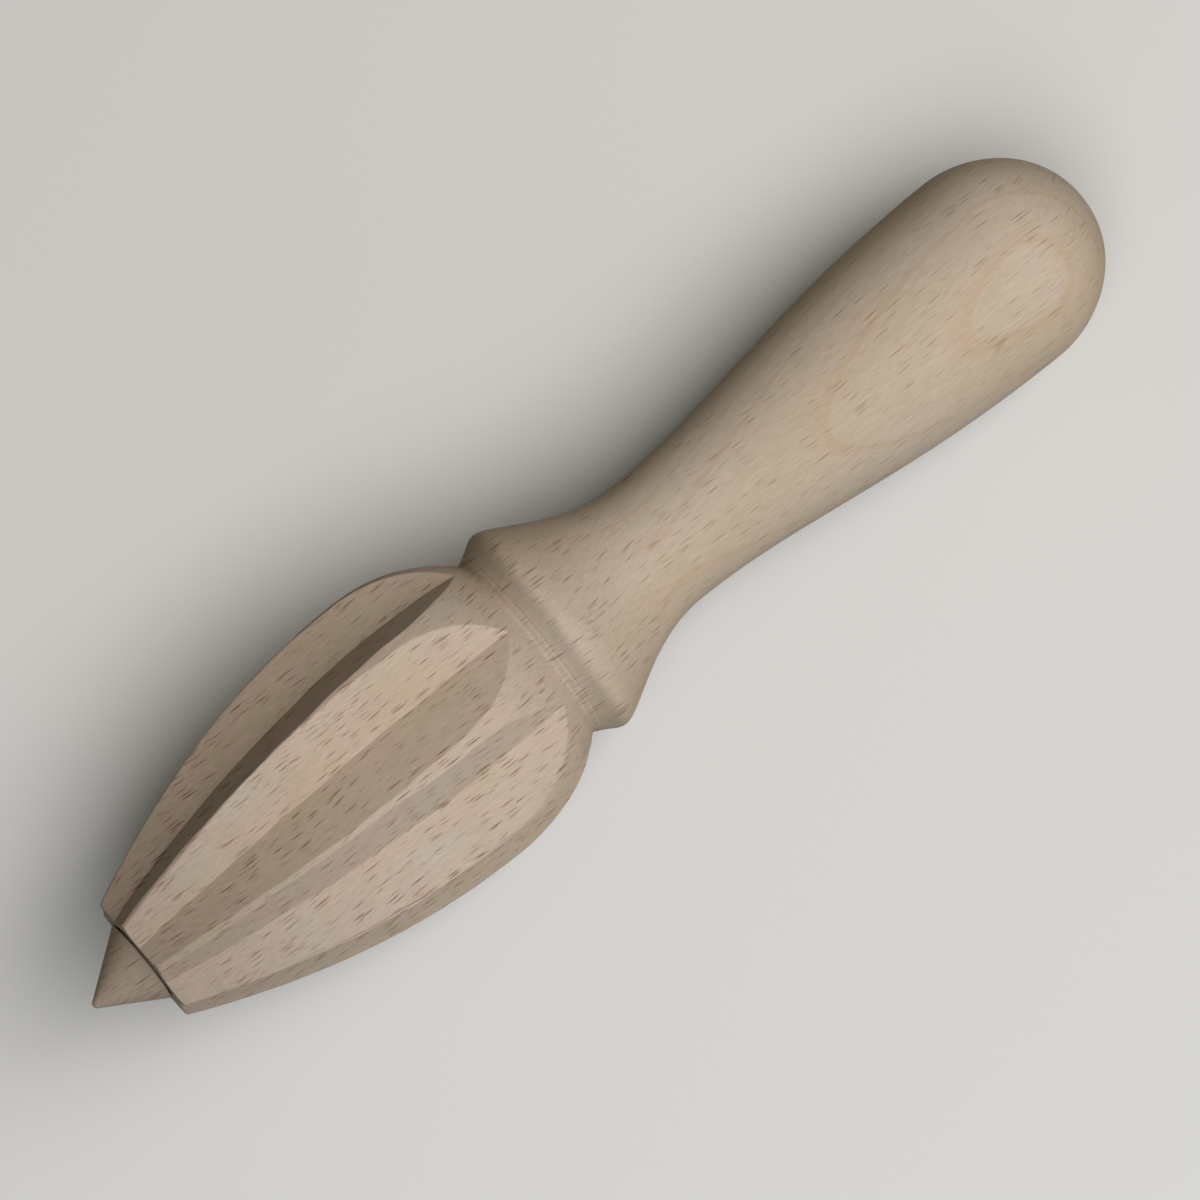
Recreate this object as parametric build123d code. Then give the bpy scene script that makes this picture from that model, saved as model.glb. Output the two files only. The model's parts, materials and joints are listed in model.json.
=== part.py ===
from build123d import *
from math import asin, atan2, cos, degrees, radians, sin, tan
import os

# Wooden citrus reamer, turned and fluted from one blank of beech. Millimetres.
# It is drawn along X with its tip at zero, then laid down as it rests on a table.
# Stations (names ending in _at) are measured along the axis from the tip.

# Whole tool
overall_length = 165.0

# Piercing tip: a short cone with a blunted point, set off from the head by a parting groove
tip_rounding = 0.4
cone_half_angle = 34.0
cone_length = 8.42
cone_edge_rounding = 0.15
parting_width = 0.23
parting_depth = 1.08

# Reaming head: a blunt-ended ogive, widest past its middle, then a round shoulder
nose_radius = 9.1
nose_edge_rounding = 0.5
nose_slope_share = 0.46
nose_pull_share = 0.48
crown_at = 55.5
crown_radius = 20.25
crown_pull_share = 0.20

# Neck notch and the collar behind it, which keeps the juice off the hand
notch_at = 71.8
notch_radius = 13.6
lip_at = 73.3
lip_radius = 14.4
lip_slope_share = 0.75
lip_pull_share = 0.40
crest_at = 75.9
crest_radius = 15.58
crest_front_pull_share = 0.50
crest_back_pull_share = 0.14

# Handle: a narrow waist for finger and thumb, a swelling for the palm and a domed end
waist_at = 93.5
waist_radius = 9.2
waist_front_pull_share = 0.48
waist_back_pull_share = 0.30
swell_at = 150.0
swell_radius = 14.15
swell_pull_share = 0.46
dome_side_pull_share = 0.43
dome_end_pull_share = 0.66

# Flutes: V grooves with flat flanks that leave narrow turned lands between them.
# The V leans a little to one side, so one flank of each groove is the wider.
flute_count = 8
flank_half_angle = 70.0
flute_lean = 2.5
flute_nose_radius = 7.4
flute_nose_slope_share = 0.38
flute_nose_pull_share = 0.42
flute_crown_radius = 16.4
flute_crown_pull_share = 0.16
flute_runout_radius = 15.1

# How far a cut runs on past what it cuts
cut_overrun = 1.0


def level_curve(start, end, start_slope, start_pull_share, end_pull_share):
    # A fair curve that leaves start at a slope and arrives at end parallel to the axis
    run = end[0] - start[0]
    start_pull = run * start_pull_share
    leaving = (start[0] + start_pull, start[1] + start_pull * start_slope)
    arriving = (end[0] - run * end_pull_share, end[1])
    return Bezier(start, leaving, arriving, end)


def corner(sketch, place):
    return sketch.vertices().sort_by_distance(Vector(*place))[0]


def turned_outline():
    # Half section of the blank, as a turner's template: X along the axis, Y the radius
    half_angle = radians(cone_half_angle)
    tip = (0, 0)
    tip_side = (tip_rounding * (1 - sin(half_angle)), tip_rounding * cos(half_angle))
    cone_rim = (cone_length, tip_side[1] + (cone_length - tip_side[0]) * tan(half_angle))
    parting_radius = cone_rim[1] - parting_depth
    parting_front = (cone_length, parting_radius)
    parting_back = (cone_length + parting_width, parting_radius)
    nose = (cone_length + parting_width, nose_radius)
    crown = (crown_at, crown_radius)
    notch = (notch_at, notch_radius)
    lip = (lip_at, lip_radius)
    crest = (crest_at, crest_radius)
    waist = (waist_at, waist_radius)
    swell = (swell_at, swell_radius)
    end = (overall_length, 0)
    dome_side = (swell_at + (overall_length - swell_at) * dome_side_pull_share, swell_radius)
    dome_end = (overall_length, swell_radius * dome_end_pull_share)

    edges = [
        TangentArc(tip, tip_side, tangent=(0, 1)),
        Polyline(tip_side, cone_rim, parting_front, parting_back, nose),
        level_curve(nose, crown, nose_slope_share, nose_pull_share, crown_pull_share),
        TangentArc(crown, notch, tangent=(1, 0)),
        Line(notch, lip),
        level_curve(lip, crest, lip_slope_share, lip_pull_share, crest_front_pull_share),
        level_curve(crest, waist, 0, crest_back_pull_share, waist_front_pull_share),
        level_curve(waist, swell, 0, waist_back_pull_share, swell_pull_share),
        Bezier(swell, dome_side, dome_end, end),
        Line(end, tip),
    ]
    section = make_face(edges)
    section = fillet(corner(section, cone_rim), cone_edge_rounding)
    return fillet(corner(section, nose), nose_edge_rounding)


def flute_cutter():
    # Everything outside the groove's root line, in the plane of that line, is pushed
    # along each flank in turn. The two halves meet at the root and make one V.
    nose_at = cone_length + parting_width
    open_end = (nose_at - cut_overrun, flute_nose_radius - cut_overrun * flute_nose_slope_share)
    nose = (nose_at, flute_nose_radius)
    crown = (crown_at, flute_crown_radius)
    runout = (notch_at, flute_runout_radius)
    top = crown_radius + cut_overrun
    edges = [
        Line(open_end, nose),
        level_curve(nose, crown, flute_nose_slope_share, flute_nose_pull_share, flute_crown_pull_share),
        TangentArc(crown, runout, tangent=(1, 0)),
        Polyline(runout, (runout[0], top), (open_end[0], top), open_end),
    ]
    root_plane = Plane.XZ * make_face(edges)
    wide = radians(flank_half_angle + flute_lean)
    narrow = radians(flank_half_angle - flute_lean)
    wide_half = extrude(root_plane, crown_radius, dir=(0, -sin(wide), cos(wide)))
    narrow_half = extrude(root_plane, crown_radius, dir=(0, sin(narrow), cos(narrow)))
    return wide_half + narrow_half


def ridge_angle(flank_angle):
    # Where a flank meets the crown's circle, as an angle about the axis from the groove's root
    flank = radians(flank_angle)
    return degrees(flank - asin(flute_crown_radius * sin(flank) / crown_radius))


def resting(tool):
    # A groove faces down, so the two ridges beside it carry the head at the crown, and
    # the handle drops until its swelling touches too.
    wide = ridge_angle(flank_half_angle + flute_lean)
    narrow = ridge_angle(flank_half_angle - flute_lean)
    head_depth = crown_radius * cos(radians((wide + narrow) / 2))
    tilt = degrees(atan2(head_depth - swell_radius, swell_at - crown_at))
    lying = Rot(Y=tilt) * Rot(X=(narrow - wide) / 2) * tool
    box = lying.bounding_box()
    return Pos(-box.center().X, -box.center().Y, -box.min.Z) * lying


def reamer():
    blank = revolve(Plane.XZ * turned_outline(), Axis.X)
    cutter = flute_cutter()
    flutes = [Rot(X=360 * turn / flute_count) * cutter for turn in range(flute_count)]
    return resting(blank - flutes)


os.makedirs("parts", exist_ok=True)
export_step(reamer(), "parts/reamer.step")
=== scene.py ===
import json
import math

import bpy
import numpy as np
from mathutils import Matrix, Vector


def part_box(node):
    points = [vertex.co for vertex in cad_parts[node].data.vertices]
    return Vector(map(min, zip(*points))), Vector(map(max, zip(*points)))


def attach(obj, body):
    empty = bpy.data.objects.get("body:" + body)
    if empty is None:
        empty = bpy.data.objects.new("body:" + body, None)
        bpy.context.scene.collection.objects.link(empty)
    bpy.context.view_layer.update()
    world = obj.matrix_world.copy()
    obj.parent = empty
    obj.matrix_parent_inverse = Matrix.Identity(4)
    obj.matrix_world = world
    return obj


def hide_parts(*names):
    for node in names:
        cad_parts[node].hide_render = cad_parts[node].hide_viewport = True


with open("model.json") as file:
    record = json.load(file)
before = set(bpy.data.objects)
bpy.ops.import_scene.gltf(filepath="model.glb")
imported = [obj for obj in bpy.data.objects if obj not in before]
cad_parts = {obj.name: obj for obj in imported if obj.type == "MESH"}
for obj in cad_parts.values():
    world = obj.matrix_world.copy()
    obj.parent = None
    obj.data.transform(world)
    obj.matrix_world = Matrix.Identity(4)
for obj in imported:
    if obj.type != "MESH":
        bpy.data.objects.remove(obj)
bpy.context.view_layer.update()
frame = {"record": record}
mm = 0.001
hair = 0.001                 # in millimetres, for picking rings of points

bpy.context.scene.view_settings.view_transform = "Standard"


def selectOnly(*objects):
    bpy.ops.object.select_all(action="DESELECT")
    for item in objects:
        item.select_set(True)
        bpy.context.view_layer.objects.active = item


def addNode(tree, kind, **values):
    item = tree.nodes.new(kind)
    for name, value in values.items():
        setattr(item, name, value)
    return item


# Camera: nearly overhead, turned so that the tool lies from lower left to upper right
cameraSetup = {
    "towardsTip": 4.3,       # degrees from upright
    "towardsFront": 10.0,
    "roll": 39.65,           # degrees that the tool climbs across the picture
    "lens": 300.0,
    "sensor": 36.0,
    "distance": 1283.6 * mm,
    "aimHeight": 17.0 * mm,
    "slideRight": 1.3 * mm,
    "slideUp": -0.26 * mm,
}


def placeCamera(setup):
    lean = math.radians(setup["towardsTip"])
    side = math.radians(setup["towardsFront"])
    roll = math.radians(setup["roll"])
    back = Vector((-math.sin(lean), -math.sin(side) * math.cos(lean), math.cos(side) * math.cos(lean)))
    along = Vector((1, 0, 0))
    along = (along - back * along.dot(back)).normalized()
    across = back.cross(along)
    right = along * math.cos(roll) - across * math.sin(roll)
    up = along * math.sin(roll) + across * math.cos(roll)
    bpy.ops.object.camera_add()
    camera = bpy.context.object
    camera.name = "camera"
    camera.matrix_world = Matrix((right, up, back)).transposed().to_4x4()
    aim = Vector((0, 0, setup["aimHeight"]))
    camera.location = aim + right * setup["slideRight"] + up * setup["slideUp"]
    camera.location += back * setup["distance"]
    camera.data.lens = setup["lens"]
    camera.data.sensor_width = setup["sensor"]
    bpy.context.scene.camera = camera


placeCamera(cameraSetup)
print("camera placed")


# Light: a long soft window overhead and a little towards the front, a weak cool fill low beside the
# head, and a dim warm room
lighting = {
    "window": {"towardsEnd": 17.0, "towardsFront": 25.0, "distance": 1.2, "length": 2.7, "width": 0.9,
               "power": 22.8, "colour": (1.0, 0.988, 0.985)},
    "fill": {"towardsEnd": -50.0, "towardsFront": 66.0, "distance": 0.4, "length": 0.3, "width": 0.2,
             "power": 0.19, "colour": (0.52, 0.78, 1.0)},
    "roomColour": (1.0, 0.9, 0.5),
    "roomStrength": 0.06,
    "paleColour": (0.86, 0.85, 0.83),
}


def placeLamp(name, setup):
    end, front = math.radians(setup["towardsEnd"]), math.radians(setup["towardsFront"])
    towards = Vector((math.tan(end), -math.tan(front), 1)).normalized()
    across = towards.cross(Vector((1, 0, 0))).normalized()
    bpy.ops.object.light_add(type="AREA")
    lamp = bpy.context.object
    lamp.name = name
    lamp.matrix_world = Matrix((across.cross(towards), across, towards)).transposed().to_4x4()
    lamp.location = towards * setup["distance"]
    lamp.data.shape = "RECTANGLE"
    lamp.data.size = setup["length"]
    lamp.data.size_y = setup["width"]
    lamp.data.energy = setup["power"]
    lamp.data.color = setup["colour"]
    lamp.visible_camera = False


def lightRoom(setup):
    world = bpy.data.worlds.new("paleRoom")
    bpy.context.scene.world = world
    world.use_nodes = True
    tree = world.node_tree
    tree.nodes.clear()
    output = addNode(tree, "ShaderNodeOutputWorld")
    dim = addNode(tree, "ShaderNodeBackground")
    dim.inputs["Color"].default_value = (*setup["roomColour"], 1)
    dim.inputs["Strength"].default_value = setup["roomStrength"]
    pale = addNode(tree, "ShaderNodeBackground")
    pale.inputs["Color"].default_value = (*setup["paleColour"], 1)
    rays = addNode(tree, "ShaderNodeLightPath")
    choose = addNode(tree, "ShaderNodeMixShader")
    tree.links.new(rays.outputs["Is Camera Ray"], choose.inputs["Fac"])
    tree.links.new(dim.outputs[0], choose.inputs[1])
    tree.links.new(pale.outputs[0], choose.inputs[2])
    tree.links.new(choose.outputs[0], output.inputs["Surface"])


placeLamp("window", lighting["window"])
placeLamp("fill", lighting["fill"])
lightRoom(lighting)
print("lamps and room set")


# Floor: pale to the camera, darker to bounced light so that the wood keeps its shaded side
floorSetup = {
    "size": 4.0,
    "seen": (0.74, 0.73, 0.71),
    "bounced": (0.15, 0.13, 0.085),
    "roughness": 0.9,
    "specular": 0.1,
}


def makeFloor(setup):
    selectOnly()
    bpy.ops.mesh.primitive_plane_add(size=setup["size"])
    floor = bpy.context.object
    floor.name = "floor"
    plain = bpy.data.materials.new("paleFloor")
    plain.use_nodes = True
    tree = plain.node_tree
    surface = tree.nodes["Principled BSDF"]
    surface.inputs["Roughness"].default_value = setup["roughness"]
    surface.inputs["Specular IOR Level"].default_value = setup["specular"]
    rays = addNode(tree, "ShaderNodeLightPath")
    seen = addNode(tree, "ShaderNodeMath", operation="MAXIMUM")
    choose = addNode(tree, "ShaderNodeMix", data_type="RGBA")
    choose.inputs["A"].default_value = (*setup["bounced"], 1)
    choose.inputs["B"].default_value = (*setup["seen"], 1)
    tree.links.new(rays.outputs["Is Camera Ray"], seen.inputs[0])
    tree.links.new(rays.outputs["Is Glossy Ray"], seen.inputs[1])
    tree.links.new(seen.outputs[0], choose.inputs["Factor"])
    tree.links.new(choose.outputs["Result"], surface.inputs["Base Color"])
    floor.data.materials.append(plain)


makeFloor(floorSetup)
print("floor laid")


# The reamer is worked along X with its tip at zero, as in a lathe, and is laid down at the end.
# Sizes are in millimetres, and a name ending in At is a place along the axis.
turning = {
    "steps": 256,            # faces round the turned surfaces
    "lineSteps": 1500,       # points along each part of a drawn line
    "grooveRadius": 4.86,    # wood left between the cone and the head
    "noseAt": 8.65,          # front face of the head
    "notchAt": 71.8,         # fine corner where the head ends
    "notchRadius": 13.67,
    "mergeWithin": 0.0005,
    "smoothBelow": 28.0,     # degrees, past which an edge stays sharp
}


def pick(piece, test):
    # Edit mode with just the points selected whose place along the axis passes a test
    bpy.ops.object.mode_set(mode="OBJECT")
    selectOnly(piece)
    bpy.ops.object.mode_set(mode="EDIT")
    bpy.ops.mesh.select_mode(type="VERT")
    bpy.ops.mesh.select_all(action="DESELECT")
    bpy.ops.object.mode_set(mode="OBJECT")
    for point in piece.data.vertices:
        point.select = test(point.co.x / mm)
    bpy.ops.object.mode_set(mode="EDIT")


# Piercing cone at the tip, with its blunted point a little off the axis
cone = {
    "length": 8.42,
    "tipRadius": 0.36,
    "rimRadius": 5.96,
    "tipSoftness": 0.24,
    "rimSoftness": 0.15,
    "bevelSteps": 4,
    "offCentre": 0.55,
    "slidTo": 1.0,           # how far back the tip is slid off centre
}


def makeCone(setup):
    selectOnly()
    bpy.ops.mesh.primitive_cone_add(
        vertices=turning["steps"], radius1=setup["tipRadius"] * mm, radius2=setup["rimRadius"] * mm,
        depth=setup["length"] * mm, location=(setup["length"] / 2 * mm, 0, 0), rotation=(0, math.pi / 2, 0))
    piece = bpy.context.object
    bpy.ops.object.transform_apply(location=True, rotation=True, scale=True)
    rimAt = setup["length"] - hair
    pick(piece, lambda place: place < hair)
    bpy.ops.mesh.bevel(offset=setup["tipSoftness"] * mm, segments=setup["bevelSteps"])
    pick(piece, lambda place: place > rimAt)
    bpy.ops.mesh.bevel(offset=setup["rimSoftness"] * mm, segments=setup["bevelSteps"])

    # The back is drawn in to the bottom of the parting groove and run on to the head
    pick(piece, lambda place: place > rimAt)
    back = [point.co for point in piece.data.vertices if point.co.x > rimAt * mm]
    backRadius = max(math.hypot(spot.y, spot.z) for spot in back)
    drawnIn = turning["grooveRadius"] * mm / backRadius
    bpy.ops.mesh.extrude_region_move()
    bpy.ops.transform.resize(value=(1, drawnIn, drawnIn), center_override=(0, 0, 0))
    gap = (turning["noseAt"] - setup["length"]) * mm
    bpy.ops.mesh.extrude_region_move(TRANSFORM_OT_translate={"value": (gap, 0, 0)})
    bpy.ops.mesh.delete(type="ONLY_FACE")

    # The tip is closed at a point and slid off the axis
    pick(piece, lambda place: place < hair)
    bpy.ops.mesh.poke()
    pick(piece, lambda place: place < setup["slidTo"])
    bpy.ops.transform.translate(value=(0, -setup["offCentre"] * mm, 0))
    bpy.ops.object.mode_set(mode="OBJECT")
    return piece


# Collar and handle, drawn as half a profile and spun. Each knot has its place and radius, then how far
# its level handles reach before and after it.
handle = {
    "crest": (75.9, 15.58, 1.0, 2.46),
    "waist": (93.5, 9.2, 8.45, 16.95),
    "swell": (150.0, 14.15, 26.0, 6.45),
    "lip": (73.3, 14.4),
    "lipHandle": (74.3, 14.95),
    "end": (165.0, 0.0),
    "endHandle": (165.0, 9.34),
    "rows": 26,              # along each stretch of the profile
    # From the lip down to the notch, with one fine scored line on the way
    "neckLine": ((73.2, 14.35), (72.92, 14.20), (72.80, 14.10), (72.74, 14.08), (72.60, 14.05),
                 (72.25, 13.86), (72.05, 13.75), (71.93, 13.70)),
}


def makeHandle(setup):
    selectOnly()
    bpy.ops.curve.primitive_bezier_curve_add(enter_editmode=False, location=(0, 0, 0))
    profile = bpy.context.object
    profile.data.dimensions = "3D"
    profile.data.resolution_u = setup["rows"]
    knots = [(setup["lip"], setup["lip"], setup["lipHandle"])]
    for name in ("crest", "waist", "swell"):
        place, radius, before, after = setup[name]
        knots.append(((place, radius), (place - before, radius), (place + after, radius)))
    knots.append((setup["end"], setup["endHandle"], setup["end"]))
    spline = profile.data.splines[0]
    spline.bezier_points.add(len(knots) - len(spline.bezier_points))
    for point, places in zip(spline.bezier_points, knots):
        point.handle_left_type = point.handle_right_type = "FREE"
        point.co, point.handle_left, point.handle_right = (
            Vector((place * mm, 0, radius * mm)) for place, radius in places)
    bpy.ops.object.convert(target="MESH")
    piece = bpy.context.object
    pick(piece, lambda place: place < setup["lip"][0] + hair)
    place, radius = setup["lip"]
    for nextPlace, nextRadius in setup["neckLine"] + ((turning["notchAt"], turning["notchRadius"]),):
        move = ((nextPlace - place) * mm, 0, (nextRadius - radius) * mm)
        bpy.ops.mesh.extrude_vertices_move(TRANSFORM_OT_translate={"value": move})
        place, radius = nextPlace, nextRadius
    bpy.ops.mesh.select_all(action="SELECT")
    bpy.ops.mesh.spin(steps=turning["steps"], angle=2 * math.pi, center=(0, 0, 0), axis=(1, 0, 0))
    bpy.ops.object.mode_set(mode="OBJECT")
    return piece


# Fluted head. The grooves were cut by hand and are a little uneven. Angles are degrees about the axis from
# straight up towards the front, and a land is the turned strip that is left between two grooves.
head = {
    "noseRadius": 9.1, "noseSlope": 0.46, "nosePull": 0.48, "noseEdge": 0.5,
    "crownAt": 55.5, "crownRadius": 20.25, "crownPull": 0.20,
    "shoulderRadius": 13.6,
    "rootNose": 7.32, "rootNoseSlope": 0.38, "rootNosePull": 0.42,
    "rootCrown": 16.4, "rootCrownPull": 0.135, "rootRunout": 15.1,
    "landAngles": (-22.75, 23.45, 68.75, 112.7, 157.5, 202.5, 247.8, 290.6),
    "landWidths": (3.9, 5.5, 2.2, 3.6, 3.85, 3.85, 4.2, 3.5),
    "rootAngles": (-1.3, 43.0, 88.8, 133.6, 178.6, 223.6, 268.5, 312.4),
    "edgeSoftness": 0.12,    # how far the sanded edges of the lands are worn round
    "rimSoftness": 0.12,
    "notchSoftness": 0.2,
    "rootWaver": 0.30,       # degrees that the cutter strayed
    "flankWaver": 0.45,
    "longWave": (0.6, 2.7),  # share and length of each wave in its path
    "shortWave": (0.4, 1.4),
    "grooveSeed": 1.7,       # these set the waves of different grooves and flanks apart
    "flankSeed": 2.1,
    "shortSeed": 2.3,
}


def spaced(count):
    return np.linspace(0, 1, count)


def smoothStep(low, high, value):
    t = np.clip((value - low) / (high - low), 0, 1)
    return t * t * (3 - 2 * t)


def softMinimum(a, b, softness):
    h = np.clip(0.5 + 0.5 * (b - a) / softness, 0, 1)
    return b * (1 - h) + a * h - softness * h * (1 - h)


def ogive(nose, crown, slope, nosePull, crownPull, end):
    # Places and radii of a fair line that leaves the nose at a slope, is level at the crown
    # and then falls on an arc to its end
    run = crown[0] - nose[0]
    points = np.array([nose, (nose[0] + run * nosePull, nose[1] + run * nosePull * slope),
                       (crown[0] - run * crownPull, crown[1]), crown])
    t = spaced(turning["lineSteps"])[:, None]
    rise = (points[0] * (1 - t) ** 3 + 3 * points[1] * t * (1 - t) ** 2
            + 3 * points[2] * t ** 2 * (1 - t) + points[3] * t ** 3)
    run, drop = end[0] - crown[0], crown[1] - end[1]
    bend = (run ** 2 + drop ** 2) / (2 * drop)
    x = run * spaced(turning["lineSteps"])[1:]
    fall = np.stack([crown[0] + x, crown[1] - bend + np.sqrt(bend ** 2 - x ** 2)], axis=1)
    return np.concatenate([rise, fall])


noseAt, notchAt, crownAt = turning["noseAt"], turning["notchAt"], head["crownAt"]
turnedLine = ogive((noseAt, head["noseRadius"]), (crownAt, head["crownRadius"]), head["noseSlope"],
                   head["nosePull"], head["crownPull"], (notchAt, head["shoulderRadius"]))
rootLine = ogive((noseAt, head["rootNose"]), (crownAt, head["rootCrown"]), head["rootNoseSlope"],
                 head["rootNosePull"], head["rootCrownPull"], (notchAt, head["rootRunout"]))


def turnedRadius(station):
    return np.interp(station, turnedLine[:, 0], turnedLine[:, 1])


def rootRadius(station):
    return np.interp(station, rootLine[:, 0], rootLine[:, 1])


# The root of a groove comes out through the shoulder here
archAt = turnedLine[np.nonzero(turnedLine[:, 1] > rootRadius(turnedLine[:, 0]))[0][-1], 0]

stripLayout = {
    "landColumns": 7,
    "flankColumns": 9,
    "edgeOffsets": np.array([0, 0.05, 0.11, 0.18, 0.27]),    # millimetres from the edge of a land
    "edgeShares": np.array([0, 0.035, 0.08, 0.14, 0.22]),    # and at most these shares of the strip
    "faceRows": 6,
    "rimTurns": np.radians(np.linspace(0, 67, 7))[1:],
    "easedAt": noseAt + 0.95,
    "easeRows": 4,
    "risingRows": 80,
    "fallingRows": 60,
    "fallingCrowding": 1.5,  # above 1, rows draw together towards the arches
    "shoulderRows": 16,
    "shoulderCrowding": 1.2,
    "relaxLength": 1.6,      # past the arches, in which the columns spread evenly
    "leastWidth": 0.0001,
    "nearLand": (0.7, 0.1),  # below the nose's radius, where its wider rounding starts and is full
}


def headStations():
    easedAt = stripLayout["easedAt"]
    rising = easedAt + (crownAt - easedAt) * spaced(stripLayout["risingRows"])[1:]
    crowded = 1 - (1 - spaced(stripLayout["fallingRows"])[1:]) ** stripLayout["fallingCrowding"]
    falling = crownAt + (archAt - crownAt) * crowded
    crowded = spaced(stripLayout["shoulderRows"])[1:] ** stripLayout["shoulderCrowding"]
    last = archAt + (notchAt - archAt) * crowded
    return np.concatenate([rising, falling, last])


def grooveShape(index):
    # The middles of the lands beside a groove, its root and the slopes of its two flanks
    half = [width / 2 for width in head["landWidths"]]
    count = len(half)
    root = head["rootAngles"][index]
    before = head["landAngles"][index]
    if before > root:
        before -= 360
    after = head["landAngles"][(index + 1) % count]
    if after < root:
        after += 360
    reach = (root - before - half[index], after - half[(index + 1) % count] - root)
    slopes = []
    for angle in np.radians(reach):
        rise = head["crownRadius"] * math.cos(angle) - head["rootCrown"]
        slopes.append(math.atan2(head["crownRadius"] * math.sin(angle), rise))
    return {"index": index, "low": math.radians(before), "high": math.radians(after),
            "root": math.radians(root), "slopes": slopes}


def waver(station, seed):
    longShare, longLength = head["longWave"]
    shortShare, shortLength = head["shortWave"]
    longPart = longShare * np.sin(station / longLength + seed)
    return longPart + shortShare * np.sin(station / shortLength + head["shortSeed"] * seed)


def strayed(shape, station):
    # Where the cutter really ran: the root's angle and both slopes at places along the head
    seed = head["grooveSeed"] * shape["index"]
    root = shape["root"] + math.radians(head["rootWaver"]) * waver(station, seed)
    slopes = [slope + math.radians(head["flankWaver"]) * waver(station, seed + head["flankSeed"] + side)
              for side, slope in enumerate(shape["slopes"])]
    return root, slopes


def gradedStrip(width, relax, columns):
    # Places from the edge of a strip to its far side, close together at the edge
    offsets, shares = stripLayout["edgeOffsets"], stripLayout["edgeShares"]
    near = np.minimum(offsets[None, :], shares[None, :] * width[:, None])
    rest = near[:, -1:] + (width[:, None] - near[:, -1:]) * spaced(columns - len(offsets) + 2)[None, 1:]
    graded = np.concatenate([near, rest], axis=1)
    even = width[:, None] * spaced(columns + 1)[None, :]
    return graded * (1 - relax[:, None]) + even * relax[:, None]


def columnAngles(shape, station, evenness):
    # One row of angles for each place along the head, from the middle of one land to the next
    radius = turnedRadius(station)
    relax = smoothStep(archAt, archAt + stripLayout["relaxLength"], station)
    root, slopes = strayed(shape, station)
    sides = []
    for slope, outer, sign in ((slopes[0], shape["low"], -1), (slopes[1], shape["high"], 1)):
        ratio = np.minimum(rootRadius(station) / radius, 1) * np.sin(slope)
        reach = np.maximum(slope - np.arcsin(np.minimum(ratio, np.sin(slope))), 0)
        landWidth = np.maximum(np.abs(outer - root) - reach, stripLayout["leastWidth"]) * radius
        acrossLand = gradedStrip(landWidth, relax, stripLayout["landColumns"])
        acrossFlank = gradedStrip(reach * radius, relax, stripLayout["flankColumns"])
        land = reach[:, None] + acrossLand / radius[:, None]
        flank = reach[:, None] - acrossFlank / radius[:, None]
        sides.append(root[:, None] + sign * np.concatenate([land[:, :0:-1], flank], axis=1))
    fitted = np.concatenate([sides[0], sides[1][:, -2::-1]], axis=1)
    pitch = 360 / len(head["rootAngles"])
    even = np.radians(-pitch / 2 + pitch * (shape["index"] + spaced(fitted.shape[1])))
    return fitted + (even[None, :] - fitted) * np.asarray(evenness)[:, None]


def flutedRadius(shape, angle, station):
    root, slopes = strayed(shape, station)
    turn = angle - root
    slope = np.where(turn < 0, slopes[0], slopes[1])
    flank = rootRadius(station) * np.sin(slope) / np.sin(slope - np.abs(turn))
    return softMinimum(turnedRadius(station), flank, head["edgeSoftness"])


def stripPoints(shape):
    # Every point of one groove and the half lands beside it, row by row from the nose to the notch
    rows = []

    def addRow(station, radius, angle):
        station, radius = np.broadcast_to(station, angle.shape), np.broadcast_to(radius, angle.shape)
        rows.append(np.stack([station, -radius * np.sin(angle), radius * np.cos(angle)], axis=1))

    atNose = np.array([noseAt])
    angle = columnAngles(shape, atNose, [0])[0]
    edge = flutedRadius(shape, angle, np.full(angle.shape, noseAt))
    soft = head["rimSoftness"]
    starts, isFull = (head["noseRadius"] - depth for depth in stripLayout["nearLand"])
    nearLand = smoothStep(starts, isFull, edge)
    rim = soft + (head["noseEdge"] - soft) * nearLand
    rimTurns = stripLayout["rimTurns"]
    rimEnd = noseAt + rim * (1 - np.cos(rimTurns[-1]))
    rimCentre = flutedRadius(shape, angle, rimEnd) - rim * np.sin(rimTurns[-1])
    for share in spaced(stripLayout["faceRows"]):
        spread = columnAngles(shape, atNose, [1 - share])[0]
        addRow(noseAt, turning["grooveRadius"] + (rimCentre - turning["grooveRadius"]) * share, spread)
    for turn in rimTurns:
        addRow(noseAt + rim * (1 - np.cos(turn)), rimCentre + rim * np.sin(turn), angle)
    easedAt = stripLayout["easedAt"]
    easedAngle = columnAngles(shape, np.array([easedAt]), [0])[0]
    for share in spaced(stripLayout["easeRows"] + 1)[1:]:
        station = rimEnd + (easedAt - rimEnd) * share
        spread = angle + (easedAngle - angle) * share
        addRow(station, flutedRadius(shape, spread, station), spread)
    stations = headStations()
    evenness = smoothStep(archAt, notchAt, stations)
    for station, spread in zip(stations, columnAngles(shape, stations, evenness)):
        radius = flutedRadius(shape, spread, np.full(spread.shape, station))
        if station > archAt:
            radius = -softMinimum(-radius, -turning["notchRadius"], head["notchSoftness"])
        addRow(station, radius, spread)
    return np.array(rows) * mm


def makeHead():
    # One grid for each groove, bent to its shape. A cut and a bevel would leave slivers at the thin lands.
    strips = []
    for index in range(len(head["rootAngles"])):
        points = stripPoints(grooveShape(index))
        rows, columns = points.shape[:2]
        selectOnly()
        bpy.ops.mesh.primitive_grid_add(x_subdivisions=rows - 1, y_subdivisions=columns - 1, size=2)
        strip = bpy.context.object
        spots = np.array([vertex.co for vertex in strip.data.vertices])
        row = np.rint((spots[:, 0] + 1) / 2 * (rows - 1)).astype(int)
        column = np.rint((spots[:, 1] + 1) / 2 * (columns - 1)).astype(int)
        strip.data.vertices.foreach_set("co", points[row, column].ravel())
        strip.data.update()
        strips.append(strip)
    return strips


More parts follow.
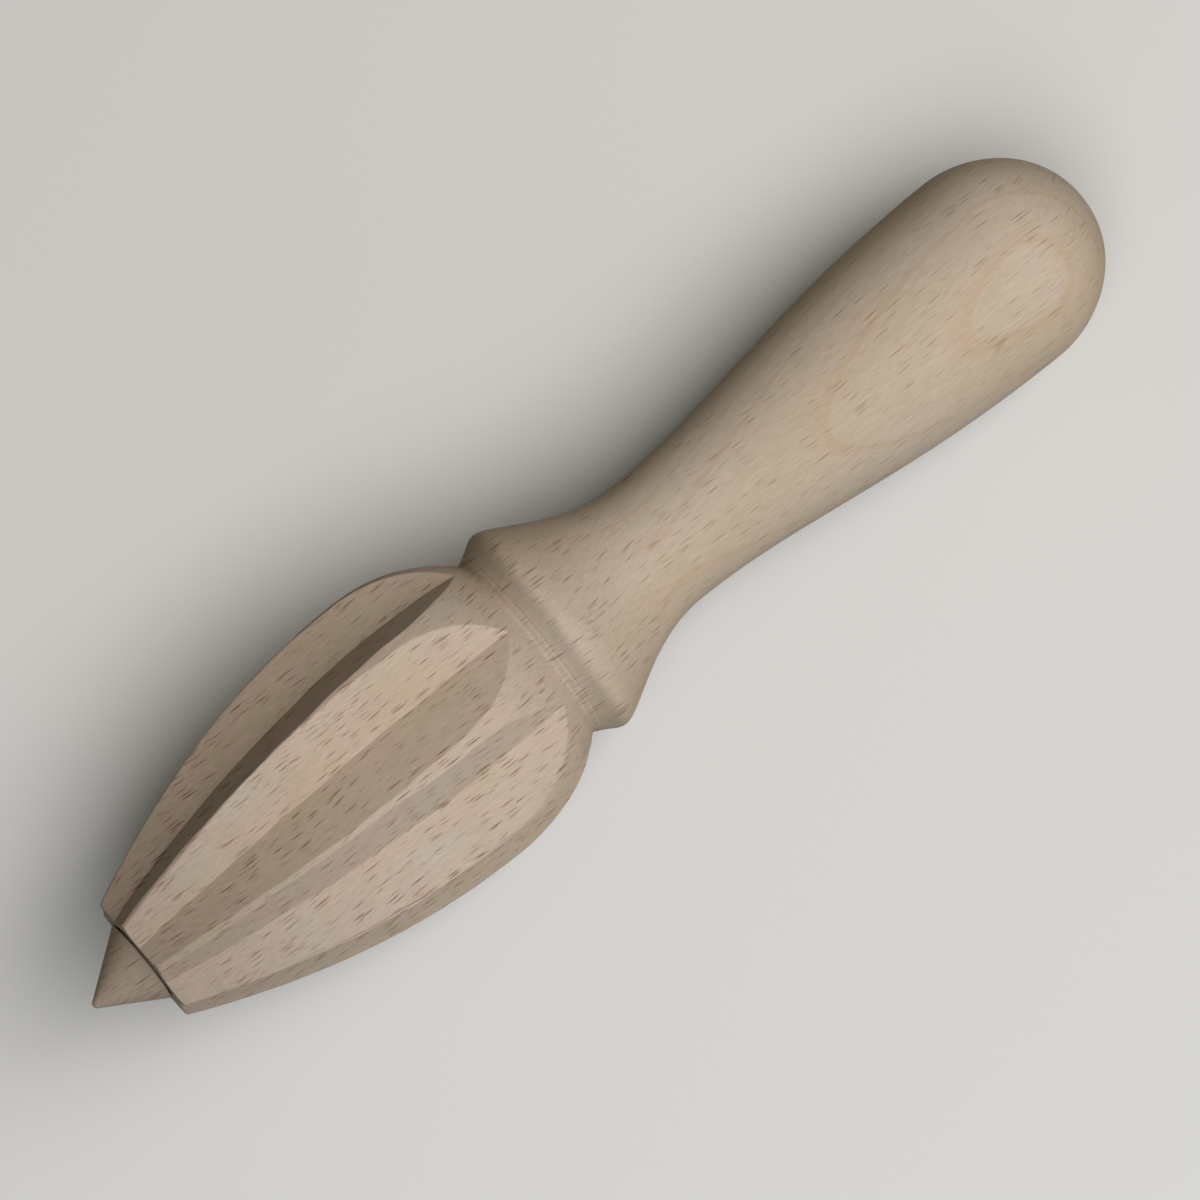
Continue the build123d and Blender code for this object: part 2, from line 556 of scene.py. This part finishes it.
def layDown(piece):
    # The record's mounts say where the tip lies and how the axis slopes. The tool then touches the floor.
    mounts = {mount["name"]: mount for mount in frame["record"]["mounts"]}
    tip = Vector(mounts["reaming_head"]["pos_m"])
    tilt = math.asin(-mounts["palm_grip"]["axis"][2])
    piece.rotation_euler = (0, tilt, 0)
    piece.location = tip
    selectOnly(piece)
    bpy.ops.object.transform_apply(location=True, rotation=True, scale=True)
    drop = min(vertex.co.z for vertex in piece.data.vertices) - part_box("reamer")[0].z
    piece.location.z = -drop
    bpy.ops.object.transform_apply(location=True, rotation=True, scale=True)
    return tip - Vector((0, 0, drop)), tilt


def makeReamer():
    pieces = [makeHandle(handle), makeCone(cone), *makeHead()]
    selectOnly(*pieces)
    bpy.ops.object.join()
    reamer = bpy.context.object
    reamer.name = "beechReamer"
    bpy.ops.object.mode_set(mode="EDIT")
    bpy.ops.mesh.select_all(action="SELECT")
    bpy.ops.mesh.remove_doubles(threshold=turning["mergeWithin"] * mm)
    bpy.ops.mesh.dissolve_degenerate(threshold=turning["mergeWithin"] * mm)
    bpy.ops.mesh.normals_make_consistent(inside=False)
    bpy.ops.object.mode_set(mode="OBJECT")
    bpy.ops.object.shade_smooth_by_angle(angle=math.radians(turning["smoothBelow"]), keep_sharp_edges=False)
    lipAt = handle["lip"][0]
    pick(reamer, lambda place: abs(place - lipAt) < hair)
    bpy.ops.mesh.mark_sharp()
    bpy.ops.object.mode_set(mode="OBJECT")
    return reamer


reamer = makeReamer()
tipPlace, tilt = layDown(reamer)
print("reamer modelled:", len(reamer.data.vertices), "points,", len(reamer.data.polygons), "faces")


# Beech: bare and sanded. Colours are sRGB values out of 255, and sizes are in millimetres.
beech = {
    "pale": (190, 175, 159),
    "warm": (187, 168, 144),
    "pink": (192, 170, 154),
    "ring": (182, 144, 106),
    "fleck": (116, 71, 52),
    "handleFleck": (126, 90, 58),
    "rayLean": 17.0,         # degrees from upright towards the front to the bark side
    "pithDepth": 105.0,      # below the axis
    "ringHeights": (5.1, 9.75, 13.57),    # above the axis at the swelling
    "ringSpacing": 2.7,      # between the rings below those
    "ringLean": -0.21,       # how fast the rings rise towards the back
    "ringSlope": 0.07,       # and sink towards the handle's end
    "ringDrift": 0.8,
    "ringEdge": (-0.1, 0.02),             # a ring starts sharply and fades towards the pith
    "ringFade": (0.02, 0.7),
    # Flecks: cell along, across and towards the bark, shift, least and most reach in a cell, softness
    "boldFlecks": (
        ((3.9, 0.22, 8.0), (0, 0, 0), 0.2, 0.52, 0.19),
        ((3.3, 0.19, 7.0), (52.7, 43.1, 9.4), 0.2, 0.52, 0.19),
    ),
    "slightFlecks": ((2.6, 0.2, 5.0), (31.3, 17.7, 5.1), 0.2, 0.5, 0.22),
    "slightShare": 0.35,
    "fleckTaper": 1.35,      # 2 is round, and less draws the ends out
    "fleckScatter": 0.8,
    "faintestFleck": 0.45,
    "fleckStrength": 0.88,
    # Noise: waves per millimetre along, across and towards the bark, then detail and roughness
    "noises": {
        "wander": ((0.03, 0.06, 0.06), 1.0, 0.5),
        "drift": ((0.014, 0.05, 0.05), 2.0, 0.5),
        "fibre": ((0.3, 3.0, 1.5), 3.0, 0.6),
        "fineFibre": ((0.6, 6.0, 4.0), 2.0, 0.7),
        "cloud": ((0.02, 0.09, 0.09), 2.0, 0.5),
        "blush": ((0.12, 0.45, 0.3), 2.0, 0.5),
        "toolMarks": ((1.7, 0.04, 0.04), 1.0, 0.5),
    },
    "wanderReach": 4.0,
    # What changes along the tool: from and to, then the values there
    "changes": {
        "fleckless": (70.0, 100.0, 0.61, 0.78),    # share of the cells
        "fleckShare": (70.0, 100.0, 1.0, 0.66),
        "fleckHue": (60.0, 110.0, 0.0, 1.0),
        "ringShare": (78.0, 100.0, 0.07, 0.26),
        "pinkShare": (100.0, 40.0, 0.1, 0.9),
        # painted shade: the wood is made darker towards the nose and cone, where less light falls
        "paintedNoseShade": (6.0, 46.0, 0.82, 1.0),
        # painted light: the wood is made lighter towards the handle's end, where more light falls
        "paintedHandleLight": (90.0, 140.0, 1.0, 1.06),
        "toolMarks": (72.0, 76.0, 0.0, 1.2),
    },
    "cloudEdges": (0.3, 0.7),
    "blushEdges": (0.35, 0.65),
    "tone": 0.68,            # to which the fibres add
    "fibreTone": 0.34,
    "fineFibreTone": 0.3,
    "endGrain": 0.3,
    "roughness": (0.59, 0.71),            # between and on the raised fibres
    "fibreEdges": (0.2, 0.8),
    "specular": 0.24,
    "reliefStrength": 0.6,
    "reliefDepth": 0.02,
    "fineRelief": 0.7,
}


def linear(colour):
    values = [channel / 255 for channel in colour]
    return (*[v / 12.92 if v <= 0.04045 else ((v + 0.055) / 1.055) ** 2.4 for v in values], 1)


def makeBeech(setup, place, lean):
    wood = bpy.data.materials.new("bareBeech")
    wood.use_nodes = True
    tree = wood.node_tree
    surface = tree.nodes["Principled BSDF"]
    link = tree.links.new

    def feed(socket, value):
        if isinstance(value, (int, float, tuple)):
            socket.default_value = value
        elif value is not None:
            link(value, socket)

    def maths(operation, first, second=None):
        item = addNode(tree, "ShaderNodeMath", operation=operation)
        feed(item.inputs[0], first)
        feed(item.inputs[1], second)
        return item.outputs[0]

    def scaled(vector, scale, shift=(0, 0, 0)):
        item = addNode(tree, "ShaderNodeMapping", vector_type="POINT")
        item.inputs["Scale"].default_value = scale
        item.inputs["Location"].default_value = shift
        link(vector, item.inputs["Vector"])
        return item.outputs[0]

    def noise(vector, name):
        scale, detail, rough = setup["noises"][name]
        item = addNode(tree, "ShaderNodeTexNoise", noise_dimensions="3D")
        item.inputs["Scale"].default_value = 1.0
        item.inputs["Detail"].default_value = detail
        item.inputs["Roughness"].default_value = rough
        link(scaled(vector, scale), item.inputs["Vector"])
        return item.outputs["Fac"]

    def ranged(value, fromLow, fromHigh, toLow=0.0, toHigh=1.0):
        item = addNode(tree, "ShaderNodeMapRange", interpolation_type="SMOOTHSTEP")
        for name, number in (("Value", value), ("From Min", fromLow), ("From Max", fromHigh),
                             ("To Min", toLow), ("To Max", toHigh)):
            feed(item.inputs[name], number)
        return item.outputs["Result"]

    def mixed(factor, first, second):
        item = addNode(tree, "ShaderNodeMix", data_type="RGBA")
        for name, value in (("Factor", factor), ("A", first), ("B", second)):
            feed(item.inputs[name], value)
        return item.outputs["Result"]

    def joined(x, y, z):
        item = addNode(tree, "ShaderNodeCombineXYZ")
        for socket, value in zip(item.inputs, (x, y, z)):
            feed(socket, value)
        return item.outputs[0]

    # Millimetres along the tool's own axis, then along the rays of the tree
    coordinates = addNode(tree, "ShaderNodeTexCoord")
    onTool = addNode(tree, "ShaderNodeMapping", vector_type="TEXTURE")
    onTool.inputs["Location"].default_value = place
    onTool.inputs["Rotation"].default_value = (0, lean, 0)
    onTool.inputs["Scale"].default_value = (mm, mm, mm)
    link(coordinates.outputs["Object"], onTool.inputs["Vector"])
    turnedToBark = addNode(tree, "ShaderNodeMapping", vector_type="POINT")
    turnedToBark.inputs["Rotation"].default_value = (math.radians(-setup["rayLean"]), 0, 0)
    turnedToBark.inputs["Location"].default_value = (0, 0, setup["pithDepth"])
    link(onTool.outputs[0], turnedToBark.inputs["Vector"])
    split = addNode(tree, "ShaderNodeSeparateXYZ")
    link(turnedToBark.outputs[0], split.inputs[0])
    along = split.outputs["X"]
    across = maths("MULTIPLY", maths("ARCTAN2", split.outputs["Y"], split.outputs["Z"]), setup["pithDepth"])
    depth = maths("SQRT", maths("ADD", maths("POWER", split.outputs["Y"], 2.0),
                                maths("POWER", split.outputs["Z"], 2.0)))
    straight = joined(along, across, depth)

    def changing(name):
        return ranged(along, *setup["changes"][name])

    # The grain wanders a little
    wander = maths("MULTIPLY", maths("SUBTRACT", noise(straight, "wander"), 0.5), setup["wanderReach"])
    grain = joined(along, maths("ADD", across, wander), depth)

    # Ray flecks: thin plates that run out from the pith, seen on edge as short dashes with tapered ends
    fleckless = changing("fleckless")

    def flecks(cell, shift, least, most, softness):
        cells = addNode(tree, "ShaderNodeTexVoronoi", feature="F1", voronoi_dimensions="3D",
                        distance="MINKOWSKI")
        cells.inputs["Exponent"].default_value = setup["fleckTaper"]
        cells.inputs["Scale"].default_value = 1.0
        cells.inputs["Randomness"].default_value = setup["fleckScatter"]
        link(scaled(grain, tuple(1 / size for size in cell), shift), cells.inputs["Vector"])
        dice = addNode(tree, "ShaderNodeSeparateColor")
        link(cells.outputs["Color"], dice.inputs[0])
        reach = maths("ADD", maths("MULTIPLY", dice.outputs[0], most - least), least)
        mask = ranged(cells.outputs["Distance"], maths("SUBTRACT", reach, softness), reach, 1.0, 0.0)
        faintest = setup["faintestFleck"]
        strength = maths("ADD", maths("MULTIPLY", dice.outputs[1], 1 - faintest), faintest)
        chosen = maths("GREATER_THAN", dice.outputs[2], fleckless)
        return maths("MULTIPLY", maths("MULTIPLY", mask, strength), chosen)

    bold = maths("MAXIMUM", *[flecks(*layer) for layer in setup["boldFlecks"]])
    slight = maths("MULTIPLY", flecks(*setup["slightFlecks"]), setup["slightShare"])
    fleckMask = maths("MULTIPLY", maths("MAXIMUM", bold, slight), changing("fleckShare"))

    # Growth rings: nearly flat sheets across the blank, each a thin darker line
    drift = maths("MULTIPLY", maths("SUBTRACT", noise(straight, "drift"), 0.5), setup["ringDrift"])
    height = maths("ADD", maths("SUBTRACT", depth, setup["pithDepth"]),
                   maths("MULTIPLY", across, setup["ringLean"]))
    height = maths("ADD", height, drift)
    pastSwelling = maths("SUBTRACT", along, handle["swell"][0])
    height = maths("ADD", height, maths("MULTIPLY", pastSwelling, setup["ringSlope"]))
    lowest = setup["ringHeights"][0]
    spacing = setup["ringSpacing"]
    stepsDown = maths("DIVIDE", maths("SUBTRACT", lowest, height), spacing)
    below = maths("MULTIPLY", maths("FRACT", stepsDown), spacing)
    farAway = 9.0
    gaps = [maths("ADD", below, ranged(height, lowest, lowest + 0.01, 0.0, farAway))]
    gaps += [maths("SUBTRACT", ringHeight, height) for ringHeight in setup["ringHeights"]]
    lines = [maths("MULTIPLY", ranged(gap, *setup["ringEdge"]), ranged(gap, *setup["ringFade"], 1.0, 0.0))
             for gap in gaps]
    ringLine = lines[0]
    for line in lines[1:]:
        ringLine = maths("MAXIMUM", ringLine, line)
    ringLine = maths("MULTIPLY", ringLine, changing("ringShare"))

    # Fibres, slow changes of tone, painted shade towards the nose and painted light towards the handle's
    # end
    fibre = noise(grain, "fibre")
    fineFibre = noise(grain, "fineFibre")
    cloud = ranged(noise(straight, "cloud"), *setup["cloudEdges"])
    blush = ranged(noise(grain, "blush"), *setup["blushEdges"])
    base = mixed(cloud, linear(setup["pale"]), linear(setup["warm"]))
    base = mixed(maths("MULTIPLY", blush, changing("pinkShare")), base, linear(setup["pink"]))
    base = mixed(ringLine, base, linear(setup["ring"]))
    streak = maths("ADD", maths("MULTIPLY", fibre, setup["fibreTone"]),
                   maths("MULTIPLY", fineFibre, setup["fineFibreTone"]))
    facing = addNode(tree, "ShaderNodeVectorMath", operation="DOT_PRODUCT")
    link(coordinates.outputs["Normal"], facing.inputs[0])
    facing.inputs[1].default_value = (math.cos(lean), 0, -math.sin(lean))
    endGrain = maths("MULTIPLY", maths("POWER", facing.outputs["Value"], 2.0), -setup["endGrain"])
    tone = maths("MULTIPLY", maths("ADD", streak, setup["tone"]), maths("ADD", endGrain, 1.0))
    # Painted shade: darker towards the nose and cone, where less light falls
    tone = maths("MULTIPLY", tone, changing("paintedNoseShade"))
    # Painted light: lighter towards the handle's end, where more light falls
    tone = maths("MULTIPLY", tone, changing("paintedHandleLight"))
    toned = addNode(tree, "ShaderNodeVectorMath", operation="SCALE")
    link(base, toned.inputs[0])
    link(tone, toned.inputs["Scale"])
    fleckColour = mixed(changing("fleckHue"), linear(setup["fleck"]), linear(setup["handleFleck"]))
    colour = mixed(maths("MULTIPLY", fleckMask, setup["fleckStrength"]), toned.outputs[0], fleckColour)
    link(colour, surface.inputs["Base Color"])
    link(ranged(fibre, *setup["fibreEdges"], *setup["roughness"]), surface.inputs["Roughness"])
    surface.inputs["Specular IOR Level"].default_value = setup["specular"]

    # Relief: raised fibres, sunken flecks and faint marks of the turning tool behind the neck
    marks = maths("MULTIPLY", noise(onTool.outputs[0], "toolMarks"), changing("toolMarks"))
    raised = maths("ADD", fibre, maths("MULTIPLY", fineFibre, setup["fineRelief"]))
    relief = maths("SUBTRACT", raised, fleckMask)
    bump = addNode(tree, "ShaderNodeBump")
    bump.inputs["Strength"].default_value = setup["reliefStrength"]
    bump.inputs["Distance"].default_value = setup["reliefDepth"] * mm
    link(maths("ADD", relief, marks), bump.inputs["Height"])
    link(bump.outputs[0], surface.inputs["Normal"])
    return wood


reamer.data.materials.clear()
reamer.data.materials.append(makeBeech(beech, tipPlace, tilt))
print("beech made")

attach(reamer, "root")
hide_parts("reamer")
